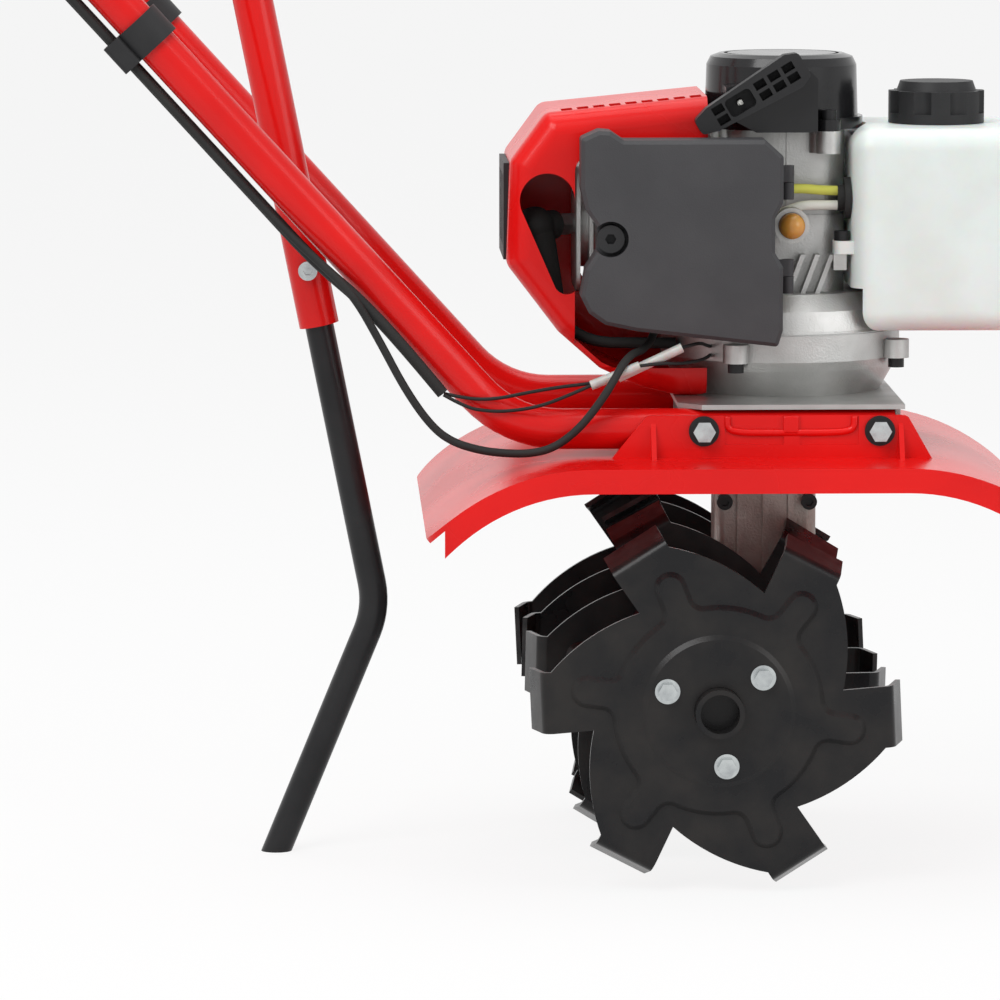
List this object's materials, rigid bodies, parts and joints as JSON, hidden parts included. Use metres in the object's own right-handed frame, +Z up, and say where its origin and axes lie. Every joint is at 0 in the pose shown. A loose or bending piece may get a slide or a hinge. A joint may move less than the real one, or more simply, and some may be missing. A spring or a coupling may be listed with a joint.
{
  "type": "garden tiller",
  "caption": "Small petrol garden tiller: pressed tine discs on a worm gearbox, red fender and cowl, upright two-stroke engine, twin handle tubes and an adjustable drag stake.",
  "frame": {"origin": "on the ground under the middle of the machine's box", "axes": "+X forward, +Y to the machine's left, +Z up"},
  "size_m": [1.0416, 0.4626, 0.8878],
  "materials": {
    "red": "gloss moulded red",
    "red_paint": "gloss red paint",
    "black_paint": "worn black paint",
    "black_plastic": "black moulding",
    "starter_black": "gloss black",
    "grey_plastic": "dark grey moulding",
    "cast": "cast",
    "steel": "mill steel",
    "zinc": "zinc plated",
    "bronze": "gear bronze",
    "rubber": "black rubber",
    "tank_white": "white translucent",
    "amber": "amber bulb",
    "hose_yellow": "yellow green hose",
    "hose_clear": "clear hose",
    "foam": "foam",
    "rope": "woven rope",
    "sleeve": "clear sleeve",
    "muffler": "heat darkened steel"
  },
  "bodies": {
    "machine": {"gearbox_right": "cast", "gearbox_left": "cast", "gearbox_bearings": "steel", "base_plate": "steel", "fender": "red", "handle_tubes": "red_paint", "grips": "rubber", "handle_bolts": "zinc", "handle_washers": "black_paint", "center_tube": "red_paint", "cross_brace": "red_paint", "stake_bolt": "zinc", "fan_housing": "cast", "crankcase": "cast", "starter_cover": "starter_black", "socket_screws": "black_paint", "cylinder": "cast", "engine_cowl": "red", "rear_vent": "black_plastic", "spark_plug": "steel", "plug_cap": "rubber", "plug_lead": "rubber", "muffler": "muffler", "intake_spacer": "black_plastic", "carburetor": "cast", "air_filter_case": "grey_plastic", "air_filter_element": "foam", "fuel_tank": "tank_white", "tank_grommet": "rubber", "fuel_line": "hose_yellow", "return_line": "hose_clear", "cable_clips": "black_plastic", "throttle_housing": "black_plastic", "throttle_cable": "rubber", "wire_conduit": "rubber", "switch_wires": "rubber", "wire_connectors": "sleeve"},
    "tine_rotor": {"tine_shaft": "black_paint", "worm_wheel": "bronze", "tine_hub_right": "black_paint", "tine_hub_left": "black_paint", "tine_disc_outer_right": "black_paint", "tine_disc_inner_right": "black_paint", "tine_disc_inner_left": "black_paint", "tine_disc_outer_left": "black_paint", "tine_bolts": "zinc"},
    "drive_shaft": {"worm_shaft": "steel", "clutch_drum": "steel"},
    "engine_rotor": {"flywheel": "cast", "clutch_shoes": "steel", "starter_pulley": "black_plastic"},
    "starter_pull": {"starter_handle": "black_plastic", "starter_rope": "rope"},
    "filler_cap": {"fuel_cap": "black_plastic"},
    "filter_cover": {"air_filter_cover": "grey_plastic"},
    "filter_knob": {"cover_knob": "black_plastic"},
    "primer": {"primer_bulb": "amber"},
    "throttle": {"throttle_lever": "black_plastic"},
    "switch": {"stop_switch": "red"},
    "drag_stake": {"stake": "black_paint"}
  },
  "joints": [
    {"name": "tine_spin", "type": "hinge", "parent": "machine", "child": "tine_rotor", "pos_m": [0.30592, 0, 0.11329], "axis": [0, 1, 0], "continuous": true},
    {"name": "drive_spin", "type": "hinge", "parent": "machine", "child": "drive_shaft", "pos_m": [0.35392, 0, 0.11329], "axis": [0, 0, 1], "continuous": true},
    {"name": "engine_spin", "type": "hinge", "parent": "machine", "child": "engine_rotor", "pos_m": [0.35392, 0, 0.35829], "axis": [0, 0, 1], "continuous": true},
    {"name": "starter_pull", "type": "slide", "parent": "machine", "child": "starter_pull", "axis": [0, -1, 0], "range_m": [0, 0.4], "stiffness_N_per_m": 10, "deforming": ["starter_rope"]},
    {"name": "fuel_cap_lift", "type": "slide", "parent": "machine", "child": "filler_cap", "axis": [0, 0, 1], "range_m": [0, 0.05]},
    {"name": "filter_cover_swing", "type": "hinge", "parent": "machine", "child": "filter_cover", "pos_m": [0.35252, -0.081, 0.40029], "axis": [0, 0, 1], "range_deg": [0, 75]},
    {"name": "filter_knob_turn", "type": "hinge", "parent": "filter_cover", "child": "filter_knob", "pos_m": [0.24212, -0.094, 0.39679], "axis": [0, 1, 0], "continuous": true},
    {"name": "primer_press", "type": "slide", "parent": "machine", "child": "primer", "axis": [0, 1, 0], "range_m": [0, 0.004], "stiffness_N_per_m": 1000},
    {"name": "throttle_squeeze", "type": "hinge", "parent": "machine", "child": "throttle", "pos_m": [-0.38099, -0.19504, 0.80766], "axis": [-0.1483, 0.9889, 0], "range_deg": [0, 12], "stiffness_Nm_per_rad": 3},
    {"name": "stop_switch_slide", "type": "slide", "parent": "machine", "child": "switch", "axis": [0.9602, 0.144, -0.2394], "range_m": [0, 0.006]},
    {"name": "stake_height", "type": "slide", "parent": "machine", "child": "drag_stake", "axis": [-0.1959, 0, 0.9806], "range_m": [0, 0.06]}
  ],
  "couplings": [
    {"joint": "drive_spin", "follows": "tine_spin", "ratio": 30}
  ]
}
